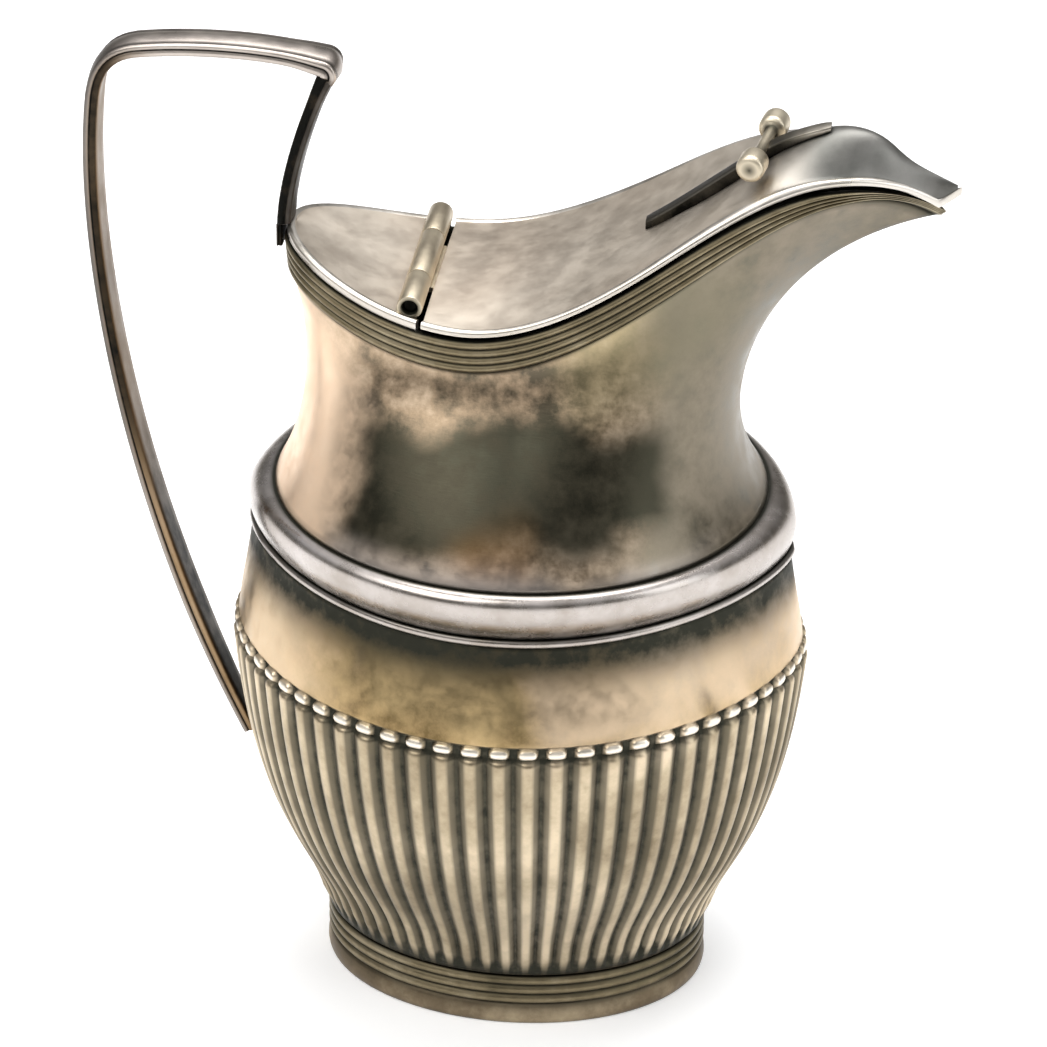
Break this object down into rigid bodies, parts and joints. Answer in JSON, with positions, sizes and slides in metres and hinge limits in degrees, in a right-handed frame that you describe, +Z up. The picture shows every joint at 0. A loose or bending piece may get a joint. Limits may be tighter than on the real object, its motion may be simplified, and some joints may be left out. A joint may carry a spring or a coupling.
{
  "type": "lidded jug",
  "caption": "Half-fluted helmet-shaped jug on a low oval foot, with a saddle-shaped mouth, a hinged lid that carries a thumb piece, and an angular strap handle.",
  "frame": {"origin": "centre of the flat underside of the foot, on the surface the jug stands on; it lies about 1 mm ahead of the middle of the bounding box", "axes": "+Z up out of the mouth, +X towards the pouring spout, +Y to the left of someone who pours; the handle is at -X"},
  "size_m": [0.1732, 0.104, 0.2066],
  "materials": {
    "silver": "tarnished silver plate on nickel silver, polished",
    "silver_bright": "rubbed bright silver plate on nickel silver",
    "silver_dark": "silver plate with dark tarnish in the grooves"
  },
  "bodies": {
    "jug": {"bowl": "silver", "foot_collar": "silver_dark", "foot_reeding": "silver_dark", "waist_bead": "silver_bright", "waist_band": "silver_bright", "neck": "silver", "rim_reeding": "silver_dark", "rear_cover": "silver", "cover_edge_wire": "silver_bright", "hinge_knuckle_near": "silver_bright", "hinge_knuckle_far": "silver_bright", "hinge_pin": "silver_dark", "handle": "silver"},
    "lid": {"hinge_knuckle_lid": "silver_bright", "lid": "silver", "lid_edge_wire": "silver_bright", "thumb_strap": "silver_dark", "thumb_crossbar": "silver_bright"}
  },
  "joints": [
    {"name": "lid_hinge", "type": "hinge", "parent": "jug", "child": "lid", "pos_m": [-0.0197, 0, 0.161], "axis": [0, -1, 0], "range_deg": [0, 90]}
  ]
}
